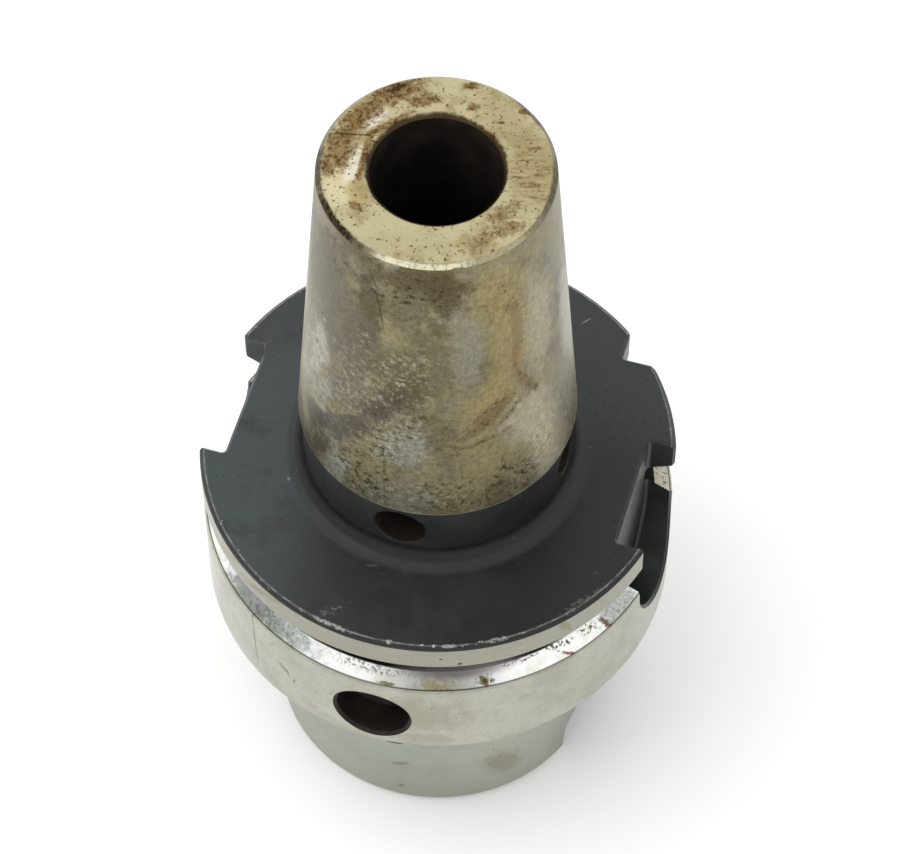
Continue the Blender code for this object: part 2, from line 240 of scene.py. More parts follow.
# Keyways, notch, slots and drilled holes
# Milled and drilled into the blank before it was hardened and blackened. A cutter is an outline
# carried through levels, and its last levels flare out to break the edge where it leaves the skin.
OUTLINE_STEPS = 40
PAST = 3.0  # how far a cutter runs past the skin
HAIR = 0.01  # keeps the faces of two cutters apart
KEYWAYS = ((16.4, 90), (18.4, 270))  # width and azimuth
KEYWAY_FLOOR_R = FLANGE_R - 4.9
KEYWAY_LOW_Z = FLANGE_Z - 20.3
NOTCH_AZIMUTH = 135  # halfway between +X and +Y
NOTCH_ROOT_R = FLANGE_R - 3.3
SLOT_AZIMUTHS = (90, 270)
CHIP_POCKET = (5.0, GAUGE_Z + 6.8, 4.6, 0.45)  # radius, height, depth and countersink
BALANCING_HOLE = (3.4, FLANGE_Z + 6.1, 8.5, 0.2)
KEY_HOLE = (3.5, GAUGE_Z - 11.2, 7.0, 0.3)


def circle(radius, height):
    """Points and outward normals of a circle about a height."""
    angle = np.arange(OUTLINE_STEPS) * 2 * math.pi / OUTLINE_STEPS
    normals = np.stack([np.cos(angle), np.sin(angle)], -1)
    return normals * radius + np.array([0, height]), normals


def box(half_width, low, high, low_round, high_round):
    """Points and outward normals of an upright box whose corners are quarter circles."""
    points = []
    normals = []
    for turn, (side, up) in enumerate(((1, -1), (1, 1), (-1, 1), (-1, -1))):
        angle = np.radians(90 * turn + np.linspace(-90, 0, OUTLINE_STEPS // 4))
        corner = high_round if up > 0 else low_round
        centre = np.array([side * (half_width - corner), (high if up > 0 else low) - up * corner])
        normal = np.stack([np.cos(angle), np.sin(angle)], -1)
        points.append(centre + normal * corner)
        normals.append(normal)
    return np.concatenate(points), np.concatenate(normals)


def vee(root, rim):
    """Points and outward normals of a right-angled notch with a small round in its root."""
    corner = 0.5
    turn = np.radians(np.linspace(-45, 45, 7))
    arc = np.stack([np.sin(turn), -np.cos(turn)], -1)
    depth = rim - root
    ends = np.array([[depth, rim], [-depth, rim]])
    points = np.concatenate([arc * corner + np.array([0, root + corner * math.sqrt(2)]), ends])
    return points, np.concatenate([arc, np.sign(ends) * np.array([1, -1]) * math.sqrt(0.5)])


def flat(value):
    """Reach that is the same all over a level."""
    return lambda along: value + 0 * along[:, 0]


def on_skin(radius_at, above=0.0):
    """Reach that follows a round skin whose radius depends on the height."""
    return lambda along: np.sqrt((radius_at(along[:, 1]) + above) ** 2 - along[:, 0] ** 2)


def carried(levels, azimuth, upright=False):
    """Closed shell through levels, each an outline, an offset along its normals and a reach.

    The reach is a level's distance from the axis plane or, with upright, its height. The shell is
    then turned about the axis to its azimuth.
    """
    rings = []
    for (points, normals), offset, reach in levels:
        along = points + normals * offset
        out = reach(along)
        rings.append((along[:, 1], along[:, 0], out) if upright else (out, along[:, 0], along[:, 1]))
    out, across, up = np.array(rings).transpose(1, 0, 2)
    turn = math.radians(azimuth)
    x = out * math.sin(turn) + across * math.cos(turn)
    y = across * math.sin(turn) - out * math.cos(turn)
    count, size = out.shape
    caps = [list(range(size)), list(range((count - 1) * size, count * size))]
    return np.stack([x, y, up], -1).reshape(-1, 3), grid_faces(count, size, False) + caps


def drilled(radius, height, depth, rim, skin_at, azimuth):
    """Shell of a drilled hole with a pointed floor and a countersunk rim."""
    hole = circle(radius, height)
    skin_r = skin_at(height)
    tip = 0.2
    return carried(
        [
            (hole, tip - radius, flat(skin_r - depth - (radius - tip) * DRILL_SLOPE)),
            (hole, 0, flat(skin_r - depth)),
            (hole, 0, on_skin(skin_at, -rim)),
            (hole, rim, on_skin(skin_at)),
            (hole, rim, flat(skin_r + PAST)),
        ],
        azimuth,
    )


def flange_r(z):
    """Radius of the flange's rings."""
    return FLANGE_R + 0 * z


def neck_r(z):
    """Radius of the neck."""
    return NECK_R + 0 * z


def keyway_shells(width, azimuth):
    """Round-ended keyway with a filleted floor, and the flare that breaks its edges in the top face."""
    fillet = 0.6
    edge = 0.4
    milled = box(width / 2, KEYWAY_LOW_Z, FLANGE_Z + PAST, width / 2, 1.0)
    floor = []
    for angle in np.linspace(0, math.pi / 2, 5):
        rise = fillet * (1 - math.cos(angle))
        floor.append((milled, fillet * (math.sin(angle) - 1), flat(KEYWAY_FLOOR_R + rise)))
    walls = [
        (milled, 0, on_skin(flange_r, -edge)),
        (milled, edge, on_skin(flange_r)),
        (milled, edge, flat(FLANGE_R + PAST)),
    ]
    top = box(width / 2, KEYWAY_FLOOR_R, FLANGE_R + PAST, fillet, 1.0)
    flare = [
        (top, -HAIR, flat(FLANGE_Z - TOP_CHAMFER - 1)),
        (top, -HAIR, flat(FLANGE_Z - edge - HAIR)),
        (top, edge, flat(FLANGE_Z)),
        (top, edge, flat(FLANGE_Z + PAST + 1)),
    ]
    return carried(floor + walls, azimuth), carried(flare, azimuth, upright=True)


def notch_shells():
    """Orientation notch through the upper ring, its top edge broken, and the bevel of its rim edges."""
    outline = vee(NOTCH_ROOT_R, FLANGE_R + PAST)
    top_break = 0.3
    rim_break = 0.5
    levels = [
        (outline, 0, flat(GROOVE_Z)),
        (outline, 0, flat(FLANGE_Z - top_break)),
        (outline, top_break, flat(FLANGE_Z)),
        (outline, top_break, flat(FLANGE_Z + PAST)),
    ]
    mouth = (math.sqrt(2 * FLANGE_R ** 2 - NOTCH_ROOT_R ** 2) - NOTCH_ROOT_R) / 2
    wall = np.array([mouth, NOTCH_ROOT_R + mouth]) - rim_break * math.sqrt(0.5)
    rim = np.array([mouth + rim_break, math.sqrt(FLANGE_R ** 2 - (mouth + rim_break) ** 2)])
    beyond = wall + (rim - wall) * 5
    tip = np.array([0, wall[1] - wall[0] * (rim[1] - wall[1]) / (rim[0] - wall[0])])
    wedge = np.array([tip, beyond, beyond * np.array([-1, 1])])
    sides = (wedge, 0 * wedge)
    bevel = [(sides, 0, flat(GROOVE_Z)), (sides, 0, flat(FLANGE_Z + PAST))]
    return carried(levels, NOTCH_AZIMUTH, upright=True), carried(bevel, NOTCH_AZIMUTH, upright=True)


def slot_shells(azimuth):
    """Drive slot in the shank's end, and the bevel along its outer edges."""
    half_width = 6.27
    flare = 2.63
    depth = 10.0
    slot = box(half_width, -PAST, depth, 0.5, 1.5)
    wide = box(half_width + flare, -PAST, depth, 0.5, 5.0)
    through = carried([(slot, 0, flat(8.0)), (slot, 0, flat(GAUGE_R + PAST))], azimuth)
    bevel = carried(
        [
            (slot, -HAIR, on_skin(taper_r, -flare)),
            (wide, 0, on_skin(taper_r)),
            (wide, 0, flat(GAUGE_R + PAST)),
        ],
        azimuth,
    )
    return through, bevel


def joined(name, blackened, bored=()):
    """One mesh of several shells, their faces pointing out: blackened ones, then bored ones, darker."""
    shells = blackened + list(bored)
    kinds = []
    faces = []
    start = 0
    for place, (points, sides) in enumerate(shells):
        finish = "oxide" if place < len(blackened) else "inside"
        kinds += [FINISHES.index(finish)] * len(sides)
        faces += [[start + corner for corner in side] for side in sides]
        start += len(points)
    mesh = make_mesh(name, np.concatenate([points for points, _ in shells]), faces, kinds)
    shape = bmesh.new()
    shape.from_mesh(mesh)
    bmesh.ops.remove_doubles(shape, verts=shape.verts[:], dist=MM * 1e-4)
    bmesh.ops.recalc_face_normals(shape, faces=shape.faces[:])
    shape.to_mesh(mesh)
    shape.free()
    return mesh


def cut_body():
    """The turned body with both sets of cutters taken away."""
    straight, bevel = notch_shells()
    milled = [straight]
    flared = [bevel]
    for width, azimuth in KEYWAYS:
        through, flare = keyway_shells(width, azimuth)
        milled.append(through)
        flared.append(flare)
    for azimuth in SLOT_AZIMUTHS:
        through, bevel = slot_shells(azimuth)
        milled.append(through)
        flared.append(bevel)
    bored = [drilled(*CHIP_POCKET, flange_r, 0)]
    bored += [drilled(*BALANCING_HOLE, neck_r, azimuth) for azimuth in (0, 90, 180, 270)]
    bored += [drilled(*KEY_HOLE, taper_r, azimuth) for azimuth in (0, 180)]
    blank = make_object("holder_blank", turned_body())
    tools = [
        make_object("mill", joined("mill", milled, bored)),
        make_object("flare", joined("flare", flared)),
    ]
    for tool in tools:
        cut = blank.modifiers.new(tool.name, "BOOLEAN")
        cut.operation = "DIFFERENCE"
        cut.solver = "EXACT"
        cut.object = tool
    graph = bpy.context.evaluated_depsgraph_get()
    mesh = bpy.data.meshes.new_from_object(blank.evaluated_get(graph))
    for piece in [blank] + tools:
        bpy.data.objects.remove(piece)
    return mesh


body_mesh = cut_body()
body_mesh.name = "ground_holder"
body = make_object("ground_holder", body_mesh)
SMOOTH_UP_TO = math.radians(28)
body_mesh.shade_smooth()
body_mesh.set_sharp_from_angle(angle=SMOOTH_UP_TO)
weighted = body.modifiers.new("Even shading", "WEIGHTED_NORMAL")
weighted.keep_sharp = True
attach(body, "root")
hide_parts("holder_body")


# Finishes of the holder body
# All of the steel was blackened after hardening. Then nose, cone, rings, taper and the groove's lower
# flank were ground bright. Shrinking has tinted the cone, and use has left rust, stains and scratches.
# Some highlights, reflections and shade are painted into the colours as well, as each finish says.
def linear(code):
    """Linear colour of an sRGB hex value."""
    parts = [int(code[place:place + 2], 16) / 255 for place in (1, 3, 5)]
    return tuple(p / 12.92 if p <= 0.04045 else ((p + 0.055) / 1.055) ** 2.4 for p in parts) + (1.0,)


def node(tree, kind, inputs=None, **settings):
    """Adds a node with its settings; each input gets a value or another node's output."""
    made = tree.nodes.new(kind)
    for setting, value in settings.items():
        setattr(made, setting, value)
    for place, value in (inputs or {}).items():
        if isinstance(value, bpy.types.NodeSocket):
            tree.links.new(value, made.inputs[place])
        else:
            made.inputs[place].default_value = value
    return made


def start_finish(finish, name, **sockets):
    """Names a finish's material, gives it a principled shader and returns tree, shader and place."""
    material = steels[FINISHES.index(finish)]
    material.name = name
    material.use_nodes = True
    tree = material.node_tree
    tree.nodes.clear()
    shader = node(tree, "ShaderNodeBsdfPrincipled", sockets)
    node(tree, "ShaderNodeOutputMaterial", {"Surface": shader.outputs[0]})
    coords = node(tree, "ShaderNodeTexCoord")
    inputs = {0: coords.outputs["Object"], "Scale": 1 / MM}
    place = node(tree, "ShaderNodeVectorMath", inputs, operation="SCALE")
    return tree, shader, place.outputs[0]


def grain(tree, place, size, detail=4.0, rough=0.6, stretch=(1, 1, 1)):
    """Noise whose features are about a size in mm, longer along an axis by its stretch."""
    shrink = tuple(1 / part for part in stretch)
    scaled = node(tree, "ShaderNodeVectorMath", {0: place, 1: shrink}, operation="MULTIPLY")
    inputs = {"Vector": scaled.outputs[0], "Scale": 1 / size, "Detail": detail, "Roughness": rough}
    return node(tree, "ShaderNodeTexNoise", inputs).outputs[0]


def spread(tree, value, low, high, bottom=0.0, top=1.0, **settings):
    """A value taken evenly from the range low to high to the range bottom to top."""
    inputs = {0: value, 1: low, 2: high, 3: bottom, 4: top}
    return node(tree, "ShaderNodeMapRange", inputs, **settings).outputs[0]


def ramp(tree, value, low, high, bottom=0.0, top=1.0):
    """Smooth step of a value from a low to a high level."""
    return spread(tree, value, low, high, bottom, top, interpolation_type="SMOOTHSTEP")


def tear(tree, place, size, rough=0.72):
    """Strong fine-edged noise that tears the edges of stains, from 0 to 1."""
    return spread(tree, grain(tree, place, size, 10.0, rough), 0.3, 0.7)


def maths(tree, first, second, operation="MULTIPLY"):
    """Two values multiplied, or joined by another operation."""
    return node(tree, "ShaderNodeMath", {0: first, 1: second}, operation=operation).outputs[0]


def most(tree, values):
    """The largest of several values."""
    largest = values[0]
    for value in values[1:]:
        largest = maths(tree, largest, value, "MAXIMUM")
    return largest


def frayed(tree, distance, ragged, rag):
    """A distance changed by a noise, so that an edge drawn at one of its levels is torn."""
    inputs = {0: ragged, 1: rag, 2: distance}
    return node(tree, "ShaderNodeMath", inputs, operation="MULTIPLY_ADD").outputs[0]


def length(tree, vector):
    """Length of a vector."""
    return node(tree, "ShaderNodeVectorMath", {0: vector}, operation="LENGTH").outputs["Value"]


def from_axis(tree, place):
    """Distance of a place from the axis."""
    level = node(tree, "ShaderNodeVectorMath", {0: place, 1: (1, 1, 0)}, operation="MULTIPLY")
    return length(tree, level.outputs[0])


def over(tree, under, tone, mask, blend="MIX"):
    """A tone laid over another where a mask says so; each is a hex value or a node's output."""
    tones = [linear(value) if isinstance(value, str) else value for value in (under, tone)]
    settings = {"data_type": "RGBA", "blend_type": blend, "clamp_factor": True}
    return node(tree, "ShaderNodeMix", {0: mask, 6: tones[0], 7: tones[1]}, **settings).outputs[2]


def relief(tree, shader, height, strength, depth):
    """Gives a shader a fine relief whose depth is in mm."""
    inputs = {"Strength": strength, "Distance": depth * MM, "Height": height}
    bump = node(tree, "ShaderNodeBump", inputs)
    tree.links.new(bump.outputs[0], shader.inputs["Normal"])


def on_face(height, x, y, spin, length, width):
    """Centre, turn and half sizes of a spot on a level face, its length turned by the spin from +X."""
    return (x, y, height), (0.0, 0.0, math.radians(spin)), (length, width, 2.0)


def on_round(radius_at, azimuth, height, lean, length, width):
    """Centre, turn and half sizes of a spot on a round skin, its length falling right by the lean."""
    turn = math.radians(azimuth)
    radius = radius_at(height)
    return (
        (radius * math.sin(turn), -radius * math.cos(turn), height),
        (0.0, math.radians(lean), turn),
        (length, 3.0, width),
    )


def stamp(tree, place, ragged, settle, skin, rag, soft, strength):
    """Function that makes masks of oval spots on a skin, their edges torn by a noise.

    It takes x, y and spin on a level face, or azimuth, height and lean on a round skin, then half the
    length and half the width of the spot. How ragged, soft and strong a mask is can follow.
    """
    def mask(first, second, turn, long, wide, rag=rag, soft=soft, strength=strength):
        centre, turns, sizes = settle(skin, first, second, turn, long, wide)
        inputs = {0: place, 1: centre, 2: turns, 3: sizes}
        turned = node(tree, "ShaderNodeMapping", inputs, vector_type="TEXTURE")
        torn = frayed(tree, length(tree, turned.outputs[0]), ragged, rag)
        middle = 1 + rag / 2
        return ramp(tree, torn, middle - soft, middle + soft, strength, 0.0)

    return mask


def nose_finish():
    """Hot-work steel ground in level strokes: straw tint, grains of rust, pits, brown round the bore, and
    painted highlights on the face and the chamfer.
    """
    tree, shader, place = start_finish("nose", "ground_nose_steel", Metallic=1.0, Roughness=0.34)
    ragged = tear(tree, place, 1.6, 0.8)
    granular = tear(tree, place, 0.8, 0.85)
    fine = grain(tree, place, 0.7, 10.0, 0.85)
    speck = grain(tree, place, 0.55, 4.0, 0.6)
    cloud = grain(tree, place, 4.0, 8.0, 0.7)
    spin = math.radians(16)  # the grinding strokes run this far from +X
    level = node(tree, "ShaderNodeMapping", {0: place, 2: (0.0, 0.0, spin)}, vector_type="TEXTURE")
    strokes = grain(tree, level.outputs[0], 0.35, 6.0, 0.75, (7, 1, 1))
    mask = stamp(tree, place, ragged, on_face, NOSE_Z, 0.8, 0.35, 0.9)
    rust = stamp(tree, place, granular, on_face, NOSE_Z, 1.8, 0.35, 0.9)
    aged, pale, white, tan = "#A99A70", "#DFD5AC", "#F2ECD8", "#B59C63"
    colour = over(tree, "#C8BF98", "#AC9E74", ramp(tree, cloud, 0.45, 0.64))
    tints_and_highlights = [
        (aged, (10.9, 3.2, -75, 5.4, 2.8, 0.7, 0.5)),
        (aged, (5.5, 9.6, -35, 4.5, 2.2, 0.8, 0.5, 0.5)),
        (pale, (-10.6, -5.6, -70, 3.2, 1.9, 0.8, 0.4)),
        (tan, (-8.2, -6.2, -52, 2.2, 0.9, 1.6, 0.5, 0.6)),
        # The two white spots are painted highlights.
        (white, (-9.2, 5.4, 68, 2.1, 0.8, 0.8, 0.3)),
        (white, (-9.7, -2.3, 88, 2.8, 0.8, 0.8, 0.3, 0.8)),
        (aged, (0.0, -11.6, 12, 6.0, 1.5, 0.8, 0.5, 0.2)),
    ]
    for tint, spot in tints_and_highlights:
        colour = over(tree, colour, tint, mask(*spot))
    rusty = most(tree, [
        rust(-10.9, 5.0, 62, 4.6, 1.5),
        rust(-8.0, 9.9, 38, 3.6, 1.8),
        rust(-12.0, -0.6, -85, 3.2, 1.9),
        rust(-12.6, -3.2, -72, 1.5, 0.9),
        rust(-4.6, 9.4, 24, 2.0, 0.9, 1.4),
        rust(9.4, -4.0, 60, 2.2, 1.1, 2.4, 0.35, 0.6),
        rust(10.6, -6.2, 30, 2.0, 0.9, 2.4, 0.35, 0.7),
        rust(8.2, -8.4, 55, 2.4, 1.0, 2.6, 0.35, 0.6),
        rust(1.6, 10.2, 16, 0.8, 0.6, 1.2),
        rust(0.6, 13.2, 16, 1.2, 0.5, 1.4),
        rust(7.7, 11.2, 20, 0.7, 0.5, 1.2),
        rust(-7.6, -8.0, -30, 0.9, 0.5, 1.2),
        rust(-8.8, -0.5, -85, 3.6, 0.45, 1.4),
        rust(-7.6, 4.6, 50, 3.2, 0.45, 1.4),
        rust(11.4, 0.8, 16, 1.4, 0.4, 1.4, 0.35, 0.7),
        rust(5.4, 8.8, 16, 0.5, 0.2, 0.8),
        rust(10.4, 6.2, 16, 0.8, 0.2, 0.8),
    ])
    colour = over(tree, colour, "#8A6C40", maths(tree, rusty, 0.85))
    colour = over(tree, colour, "#5E4224", maths(tree, rusty, ramp(tree, fine, 0.47, 0.55)))
    colour = over(tree, colour, "#34230F", maths(tree, rusty, ramp(tree, fine, 0.56, 0.64)))
    colour = over(tree, colour, "#A9925F", maths(tree, rusty, ramp(tree, fine, 0.45, 0.37, 0.0, 0.85)))
    colour = over(tree, colour, "#3B2712", rust(-7.9, 10.4, 50, 1.3, 0.5))
    streaked = mask(10.9, 1.2, -78, 6.4, 2.6, 0.8, 0.6, 1.0)
    colour = over(tree, colour, "#77653F", maths(tree, streaked, ramp(tree, strokes, 0.53, 0.64)))
    colour = over(tree, colour, "#BFB188", maths(tree, streaked, ramp(tree, strokes, 0.46, 0.36)))
    pits = maths(tree, ramp(tree, speck, 0.585, 0.65), ramp(tree, cloud, 0.40, 0.48))
    colour = over(tree, colour, "#5A4426", pits)
    colour = over(tree, colour, "#4A3A26", mask(-11.3, 2.1, 13, 2.9, 0.14, 0.5, 0.5, 0.8))
    radius = from_axis(tree, place)
    ring = ramp(tree, frayed(tree, radius, ragged, -0.55), BORE_R, BORE_R + 0.45, 0.95, 0.0)
    clean_front = mask(0.0, -9.0, 0, 7.6, 2.6, 0.6, 0.4, 1.0)
    ring_mask = maths(tree, ring, maths(tree, 1.0, clean_front, "SUBTRACT"))
    colour = over(tree, colour, "#3D2C19", ring_mask)
    chamfer_r = 13.85  # where the chamfer round the face begins
    edge = ramp(tree, radius, chamfer_r, chamfer_r + 0.15)
    colour = over(tree, colour, "#87826C", edge)
    # Painted highlight on the chamfer at the right front.
    painted_chamfer_highlight = maths(tree, edge, mask(10.2, -9.6, 45, 4.8, 2.0, 0.8, 0.4, 0.9))
    colour = over(tree, colour, "#B3AA8A", painted_chamfer_highlight)
    worn = mask(2.5, -13.9, 10, 6.4, 2.0, 0.6, 0.3, 1.0)
    colour = over(tree, colour, "#EFE9C8", maths(tree, worn, edge))
    colour = over(tree, colour, "#77705A", maths(tree, edge, ramp(tree, fine, 0.50, 0.58, 0.0, 0.7)))
    stained = most(tree, [
        mask(-9.4, -10.6, -42, 5.2, 1.3, 1.2, 0.4, 1.0),
        mask(-13.6, -3.6, -75, 3.4, 0.9, 1.0, 0.4, 0.7),
        mask(6.4, -13.1, 27, 1.0, 0.3, 0.7, 0.3, 0.9),
        mask(8.4, 11.6, -35, 3.0, 1.0, 1.0, 0.4, 0.8),
        mask(14.2, 1.6, -85, 4.6, 1.0, 0.8, 0.5, 0.6),
    ])
    stained = maths(tree, stained, ramp(tree, fine, 0.38, 0.52, 0.35, 1.0))
    stained = maths(tree, stained, ramp(tree, radius, chamfer_r - 0.25, chamfer_r + 0.05))
    colour = over(tree, colour, "#302716", stained)
    tree.links.new(colour, shader.inputs["Base Color"])
    tree.links.new(ramp(tree, ragged, 0.2, 1.0, 0.28, 0.46), shader.inputs["Roughness"])
    relief(tree, shader, maths(tree, fine, -1), 0.5, 0.02)


def cone_finish():
    """Hot-work steel tinted by shrinking heat: straw, olive and grey clouds, specks, streaks and rust,
    with painted reflection at the far sides and a painted highlight along the foot.
    """
    tree, shader, place = start_finish("cone", "heat_tinted_cone_steel", Metallic=1.0, Roughness=0.38)
    silver, cream, mist, putty = "#A6A598", "#A09A81", "#8C8B7E", "#868370"
    straw, tan, olive, drab = "#88805F", "#928359", "#6C664C", "#645F4D"
    moss, umber, purple = "#58573F", "#574E37", "#524C43"
    ragged = tear(tree, place, 3.0)
    granular = tear(tree, place, 1.0, 0.8)
    fine = grain(tree, place, 0.8, 10.0, 0.85)
    speck = grain(tree, place, 0.85, 7.0, 0.75)
    cloud = grain(tree, place, 5.0, 10.0, 0.75)
    upright = grain(tree, place, 0.35, 5.0, 0.65, (1, 1, 9))
    mask = stamp(tree, place, ragged, on_round, cone_r, 0.9, 0.4, 0.85)
    grains = stamp(tree, place, granular, on_round, cone_r, 1.2, 0.3, 0.9)
    wide = grain(tree, place, 11.0, 6.0, 0.65, (1, 1, 1.6))
    blotchy = grain(tree, place, 2.2, 10.0, 0.8)
    colour = over(tree, straw, "#807C68", ramp(tree, cloud, 0.40, 0.64))
    colour = over(tree, colour, "#625B45", ramp(tree, wide, 0.50, 0.64, 0.0, 0.9))
    colour = over(tree, colour, "#A19E8C", ramp(tree, wide, 0.46, 0.34, 0.0, 0.9))
    colour = over(tree, colour, "#6E6853", ramp(tree, blotchy, 0.53, 0.60, 0.0, 0.5))
    tints_and_highlights = [
        # The silver at the far left and the far right, where the cone turns away, is painted reflection
        # of the white room.
        (silver, mask(-80, 99, 88, 12, 3.6)),
        (silver, mask(96, 92, 88, 11, 3.0)),
        (cream, mask(66, 101, 88, 10, 3.4)),
        (tan, mask(46, 110.5, 80, 6.5, 3.4, 1.0, 0.6)),
        (tan, mask(50, 100, 88, 9.0, 2.6, 1.0, 0.6)),
        (tan, mask(40, 92, -60, 5.4, 2.8, 1.0, 0.6)),
        (drab, mask(-43, 106, -85, 10.0, 4.8)),
        (umber, mask(8, 114.4, 0, 7.0, 2.6, 1.2)),
        (umber, mask(19, 112.5, 90, 4.4, 2.4, 1.2)),
        (olive, mask(2, 109.5, 0, 3.2, 3.4, 1.2)),
        (umber, mask(-16, 107.8, 82, 5.6, 1.7, 1.2)),
        (drab, mask(-21, 99.5, 86, 6.6, 3.4)),
        (drab, mask(-37, 97, 86, 5.0, 2.0, 1.2, 0.5, 0.7)),
        (olive, mask(13, 99, 90, 7.6, 3.4, 1.2)),
        (putty, mask(30, 100.5, 90, 8.0, 2.0)),
        (moss, grains(17, 106.3, 60, 1.6, 1.0, 2.0, 0.3, 0.6)),
        (silver, mask(-47, 91.0, -80, 5.0, 2.4, 1.4)),
        (silver, mask(-36, 86.5, -60, 3.4, 1.6, 1.4)),
        (drab, mask(-25, 89, -50, 5.6, 3.2, 1.2, 0.5, 0.7)),
        (olive, mask(-2, 98, -43, 5.0, 3.2, 1.2)),
        (umber, grains(3, 93.2, -60, 3.8, 2.2, 2.0, 0.4, 0.8)),
        (purple, mask(-27, 81.2, -46, 8.0, 2.1, 1.6)),
        (purple, mask(-9, 88.4, -58, 4.8, 1.7, 1.2)),
        (purple, mask(-46, 77.5, -20, 3.4, 2.2)),
        (umber, grains(-41, 72.8, -60, 3.0, 1.2, 1.8, 0.3, 0.7)),
        (straw, grains(-13, 76.3, -68, 6.6, 3.6, 1.8)),
        (mist, mask(3, 82, -41, 4.2, 3.2)),
        (olive, mask(18.7, 84.4, 90, 5.6, 1.9, 1.2)),
        (straw, mask(38.6, 79, 42, 5.8, 3.6)),
        (putty, mask(3, 72.3, -20, 6.5, 3.2)),
        (straw, mask(27.5, 73, 60, 4.4, 3.4, 1.2)),
        (cream, mask(69.8, 70.6, 61, 5.2, 2.2)),
        (cream, mask(67, 76.6, -50, 4.4, 0.7, 1.2)),
        (silver, mask(-30, 71, -65, 4.0, 1.6)),
        (cream, mask(60.5, 82.2, 66, 7.0, 3.4, 1.2)),
        (putty, mask(87, 79.4, 86, 8.0, 2.8)),
    ]
    for tint, spot in tints_and_highlights:
        colour = over(tree, colour, tint, spot)
    shades = spread(tree, fine, 0.36, 0.64, 0.48, 1.40)
    colour = over(tree, colour, shades, 0.85, "MULTIPLY")
    drawn = spread(tree, upright, 0.35, 0.65, 0.84, 1.12)
    colour = over(tree, colour, drawn, 0.6, "MULTIPLY")
    flaked = most(tree, [
        mask(-2, 97.2, -43, 6.0, 2.6, 1.6, 0.4, 0.9),
        mask(-12, 92.0, -50, 6.0, 2.2, 1.6, 0.4, 0.8),
        mask(-27, 88.0, -50, 6.4, 3.2, 1.6, 0.4, 0.9),
        mask(-3, 84.5, -50, 4.5, 2.4, 1.2, 0.4, 1.0),
        mask(-52, 90, -80, 5.0, 2.0, 1.2, 0.4, 0.7),
        mask(-18.2, 100.9, 84, 2.6, 0.9, 1.2, 0.4, 1.0),
    ])
    colour = over(tree, colour, "#4E493C", maths(tree, flaked, ramp(tree, fine, 0.48, 0.42)))
    colour = over(tree, colour, "#A39C86", maths(tree, flaked, ramp(tree, fine, 0.51, 0.60)))
    grainy = most(tree, [
        mask(-55, 90, -85, 14.0, 5.0, 0.9, 0.5, 1.0),
        mask(67, 77, -60, 7.0, 2.6, 0.9, 0.5, 1.0),
        mask(-20, 95, -70, 5.0, 3.4, 0.9, 0.5, 0.9),
        mask(5, 71.5, 0, 14.0, 2.4, 0.9, 0.5, 0.9),
        mask(2, 81, -40, 5.0, 3.4, 0.9, 0.5, 0.7),
        mask(3, 92, -60, 5.0, 3.6, 0.9, 0.5, 0.8),
        mask(-20, 83.5, -48, 10.0, 3.0, 0.9, 0.5, 0.5),
    ])
    colour = over(tree, colour, "#57523F", maths(tree, grainy, ramp(tree, fine, 0.48, 0.39, 0.0, 0.6)))
    colour = over(tree, colour, "#C0BBA6", maths(tree, grainy, ramp(tree, fine, 0.53, 0.62, 0.0, 0.55)))
    speckled = most(tree, [
        mask(-14, 76, -68, 7.4, 4.4, 0.9, 0.4, 1.0),
        mask(48.8, 73.8, 68, 5.4, 3.0, 0.9, 0.4, 1.0),
        mask(24, 72.3, 40, 6.0, 3.6, 0.9, 0.5, 0.8),
        mask(-2, 87, -50, 5.0, 5.0, 0.9, 0.5, 0.7),
        mask(4, 112.0, 0, 8.0, 4.4, 0.9, 0.5, 0.9),
        mask(48, 108.5, 60, 4.4, 2.6, 0.9, 0.5, 0.6),
        mask(25, 84, 60, 6.0, 4.0, 0.9, 0.5, 0.6),
        mask(-38, 112, -85, 5.0, 3.0, 0.9, 0.5, 0.7),
    ])
    colour = over(tree, colour, "#352D1C", maths(tree, speckled, ramp(tree, speck, 0.54, 0.60)))
    crowded = most(tree, [
        mask(-15, 76.6, -68, 6.4, 3.2, 0.9, 0.4, 0.75),
        grains(55.4, 73.1, 30, 2.0, 1.0, 2.0),
        grains(44.9, 71.9, 30, 2.4, 1.2, 2.0),
    ])
    colour = over(tree, colour, "#4B4029", maths(tree, crowded, ramp(tree, speck, 0.51, 0.57)))
    colour = over(tree, colour, "#453C28", ramp(tree, speck, 0.655, 0.70, 0.0, 0.85))
    sides = most(tree, [
        mask(86, 98, 88, 14, 3.4, 0.9, 0.4, 0.9),
        mask(-62, 96, -88, 12, 2.6, 0.9, 0.4, 0.7),
    ])
    colour = over(tree, colour, "#5C5843", maths(tree, sides, ramp(tree, upright, 0.58, 0.66)))
    rusty = most(tree, [
        grains(54.5, 103.0, 86, 5.4, 0.7, 2.2, 0.4, 0.5),
        grains(53.1, 97.2, -84, 4.4, 0.6, 2.2, 0.4, 0.55),
        grains(55.8, 92.2, 70, 2.8, 0.5, 2.2),
        grains(59.5, 89.9, 60, 2.6, 0.9, 2.4),
        grains(39.0, 87.6, -44, 4.0, 1.4, 2.6),
        grains(49.3, 86.8, -40, 2.4, 0.5, 2.2),
        grains(36.0, 83.0, -12, 3.2, 0.4, 2.4, 0.3, 0.7),
    ])
    colour = over(tree, colour, "#735F3A", maths(tree, rusty, 0.6))
    colour = over(tree, colour, "#45371E", maths(tree, rusty, ramp(tree, fine, 0.49, 0.56)))
    lines = most(tree, [
        mask(-10.3, 108.2, 80, 3.6, 0.16, 0.5, 0.5, 0.7),
        mask(-13.5, 112.8, 70, 2.4, 0.14, 0.5, 0.5, 0.6),
    ])
    colour = over(tree, colour, "#3D3524", lines)
    height = node(tree, "ShaderNodeSeparateXYZ", {0: place}).outputs[2]
